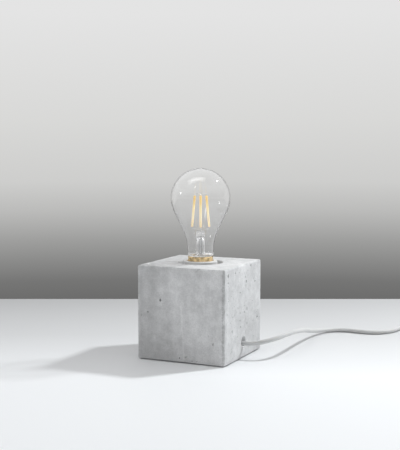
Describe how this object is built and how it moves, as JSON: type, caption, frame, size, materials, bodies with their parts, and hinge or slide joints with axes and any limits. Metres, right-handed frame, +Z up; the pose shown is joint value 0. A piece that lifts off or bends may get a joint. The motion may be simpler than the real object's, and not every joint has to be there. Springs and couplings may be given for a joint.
{
  "type": "table lamp",
  "caption": "Cube table lamp cast in concrete, with a clear filament bulb in a recessed holder and a cord with an inline switch.",
  "frame": {"origin": "on the surface that the pads rest on, under the centre of the concrete cube", "axes": "+Z up along the bulb's axis, +X out of the face that the cord leaves, -Y out of the cube's face that the picture shows largest"},
  "size_m": [0.3507, 0.2996, 0.2011],
  "materials": {
    "cast_concrete": "raw cast concrete, matt, with air pits",
    "grey_rubber": "matt pads",
    "black_plastic": "moulded, fine grain",
    "white_plastic": "moulded, satin",
    "white_gloss_plastic": "moulded, glossy",
    "white_cord": "soft PVC sheath, satin",
    "brown_core": "PVC core insulation",
    "blue_core": "PVC core insulation",
    "mixed_core": "PVC core insulation",
    "zinc_steel": "zinc plated",
    "brass": "machined or pressed brass",
    "cap_brass": "pressed and lightly tarnished",
    "solder": "smooth, dull",
    "black_glass": "black vitrite insulation",
    "clear_glass": "clear, blown",
    "stem_glass": "clear, pressed and drawn",
    "tube_glass": "milky drawn tube",
    "phosphor": "silicone with phosphor",
    "nickel_wire": "drawn wire",
    "board": "glass-fibre board",
    "capacitor_sleeve": "shrunk sleeve",
    "chip_plastic": "moulded",
    "sprung_steel": "spring wire",
    "ivory_thermoset": "moulded thermoset",
    "pin_nickel": "nickel plated"
  },
  "bodies": {
    "lamp": {"concrete_block": "cast_concrete", "base_pads": "grey_rubber", "base_cover": "black_plastic", "cover_screws": "zinc_steel", "cover_inserts": "brass", "threaded_nipple": "zinc_steel", "lock_nut": "zinc_steel", "lock_washer": "zinc_steel", "seat_washer": "zinc_steel", "holder_bottom_cap": "white_plastic", "grub_screw": "zinc_steel", "holder_insert": "ivory_thermoset", "terminal_screws": "brass", "centre_contact": "brass", "side_contact": "brass", "holder_shell": "white_plastic", "inner_cord": "white_cord", "cord_lead": "white_cord", "cord_link": "white_cord", "cord_tail": "white_cord", "cord_coil": "white_cord", "cord_stop_tie": "white_plastic", "live_core": "brown_core", "neutral_core": "blue_core", "coil_tie": "black_plastic", "switch_lower_case": "white_plastic", "switch_upper_case": "white_plastic", "switch_live_in": "brass", "switch_live_out": "brass", "switch_neutral_bar": "brass", "switch_block_screws": "zinc_steel", "switch_wires": "mixed_core", "switch_cord_clamps": "ivory_thermoset", "switch_clamp_screws": "zinc_steel", "switch_case_screws": "zinc_steel", "plug_body": "white_cord", "plug_pins": "pin_nickel", "pin_sleeves": "black_plastic", "plug_sleeve": "white_cord"},
    "bulb_contact": {"bulb_contact": "solder"},
    "bulb": {"bulb_insulator": "black_glass", "bulb_screw_cap": "cap_brass", "bulb_glass": "clear_glass", "bulb_stem": "stem_glass", "exhaust_tube": "tube_glass", "filament_1": "phosphor", "filament_2": "phosphor", "filament_3": "phosphor", "filament_4": "phosphor", "filament_feed_wires": "nickel_wire", "filament_support": "nickel_wire", "driver_board": "board", "driver_capacitor": "capacitor_sleeve", "driver_rectifier": "chip_plastic", "driver_leads": "nickel_wire"},
    "rocker": {"switch_rocker": "white_gloss_plastic", "rocker_plunger": "ivory_thermoset", "plunger_spring": "sprung_steel"},
    "bridge": {"contact_bridge": "brass"}
  },
  "joints": [
    {"name": "bulb_lift", "type": "slide", "parent": "lamp", "child": "bulb_contact", "axis": [0, 0, 1], "range_m": [0, 0.01452]},
    {"name": "bulb_turn", "type": "hinge", "parent": "bulb_contact", "child": "bulb", "pos_m": [0, 0, 0.0795], "axis": [0, 0, 1], "range_deg": [0, 1440]},
    {"name": "rocker_tilt", "type": "hinge", "parent": "lamp", "child": "rocker", "pos_m": [0.222, 0.1595, 0.0145], "axis": [1, 0, 0], "range_deg": [0, 24]},
    {"name": "bridge_tilt", "type": "hinge", "parent": "lamp", "child": "bridge", "pos_m": [0.222, 0.1595, 0.005], "axis": [1, 0, 0], "range_deg": [-10, 0]}
  ],
  "couplings": [
    {"joint": "bulb_lift", "follows": "bulb_turn", "m_per_rad": 0.00057757},
    {"joint": "bridge_tilt", "follows": "rocker_tilt", "ratio": -0.41667}
  ]
}
